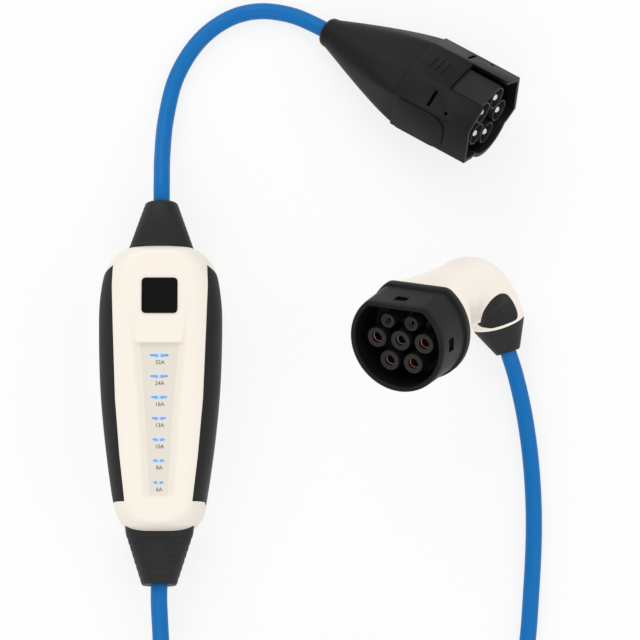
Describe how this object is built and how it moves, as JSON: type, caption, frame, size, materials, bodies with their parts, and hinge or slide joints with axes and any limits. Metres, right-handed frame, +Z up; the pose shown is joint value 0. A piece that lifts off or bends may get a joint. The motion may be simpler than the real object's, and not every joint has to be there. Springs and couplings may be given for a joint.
{
  "type": "portable ev charger",
  "caption": "Portable EV charger: cream control box with soft dark grips and light bars, a pin plug on a short blue cable and a vehicle connector on a long coiled one.",
  "frame": {"origin": "centre of the control box's back, on the surface it lies on", "axes": "+Z up out of the box's front, +Y along the box towards the plug's cable, +X across it towards the vehicle connector"},
  "size_m": [0.3014, 0.6797, 0.1461],
  "materials": {
    "cream": "satin",
    "soft_grip": "matt",
    "boot_rubber": "matt",
    "black_plastic": "satin",
    "badge_black": "gloss",
    "light_bar": "lit",
    "board": "matt",
    "module_black": "matt",
    "terminal": "matt",
    "steel": "satin",
    "pin_metal": "bright",
    "copper": "satin",
    "cable_blue": "satin",
    "tie": "matt"
  },
  "bodies": {
    "root": {"front_shell": "cream", "rear_shell": "cream", "connector_handle": "cream", "left_grip": "soft_grip", "right_grip": "soft_grip", "handle_pad": "soft_grip", "top_boot": "boot_rubber", "bottom_boot": "boot_rubber", "connector_boot": "boot_rubber", "shell_gasket": "boot_rubber", "plug_housing": "black_plastic", "plug_cap": "black_plastic", "plug_plate": "black_plastic", "pin_shrouds": "black_plastic", "connector_shroud": "black_plastic", "contact_carrier": "black_plastic", "contact_chambers": "black_plastic", "badge_plate": "badge_black", "light_lenses": "light_bar", "led_board": "board", "main_board": "board", "relays": "module_black", "power_module": "module_black", "fault_sensor": "module_black", "supply_terminals": "terminal", "vehicle_terminals": "terminal", "case_screws": "steel", "plug_pins": "pin_metal", "power_sleeves": "copper", "signal_sleeves": "copper", "supply_cores": "copper", "vehicle_cores": "copper", "supply_end": "cable_blue", "vehicle_end": "cable_blue", "supply_lead": "cable_blue", "vehicle_lead_a": "cable_blue", "vehicle_lead_b": "cable_blue", "cable_coil": "cable_blue", "coil_tie": "tie"}
  },
  "joints": []
}
